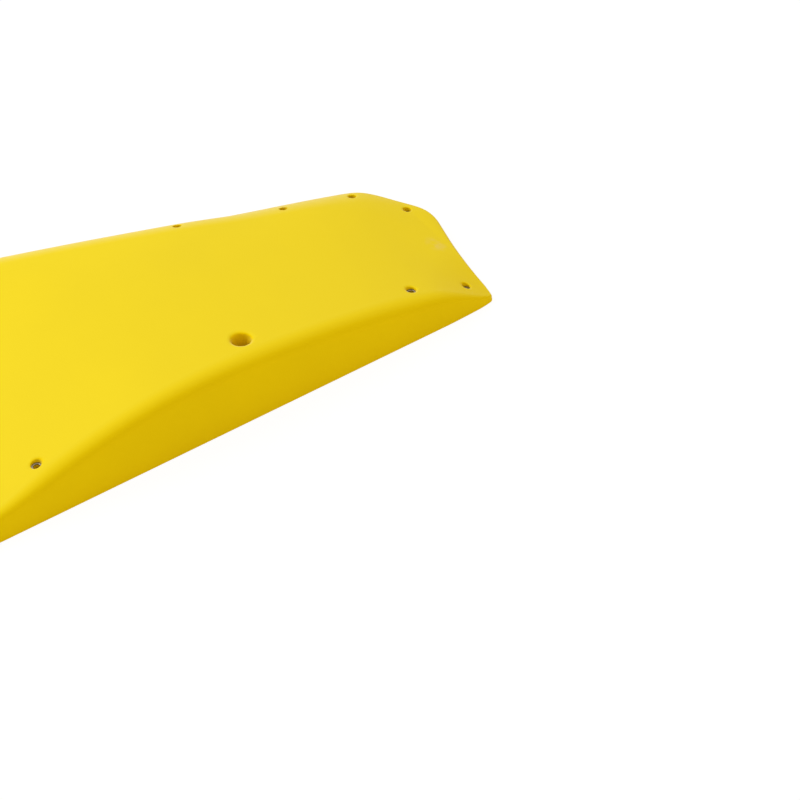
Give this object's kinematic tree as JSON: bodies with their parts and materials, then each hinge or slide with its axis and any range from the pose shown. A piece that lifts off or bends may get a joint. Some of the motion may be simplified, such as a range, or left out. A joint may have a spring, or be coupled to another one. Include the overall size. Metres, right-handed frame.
{
  "type": "edge climbing hold",
  "caption": "Long wedge-shaped climbing hold with an arched gripping edge, a sloping top, a ribbed hollow back and steel washers cast into its fixing holes.",
  "frame": {"origin": "the flat back at Z = 0, under the middle of the bounding box", "axes": "+X along the gripping edge towards the low, narrow right end; +Y from the gripping edge across the sloping top to the rear rim; +Z out of the wall, away from the flat back"},
  "size_m": [0.6313, 0.3203, 0.0629],
  "materials": {
    "shell": "matte, finely grained moulding",
    "washer_steel": "zinc-plated steel"
  },
  "bodies": {
    "root": {"hold_shell": "shell", "main_bolt_washer": "washer_steel", "screw_washer_01": "washer_steel", "screw_washer_02": "washer_steel", "screw_washer_03": "washer_steel", "screw_washer_04": "washer_steel", "screw_washer_05": "washer_steel", "screw_washer_06": "washer_steel", "screw_washer_07": "washer_steel", "screw_washer_08": "washer_steel", "screw_washer_09": "washer_steel", "screw_washer_10": "washer_steel"}
  },
  "joints": []
}
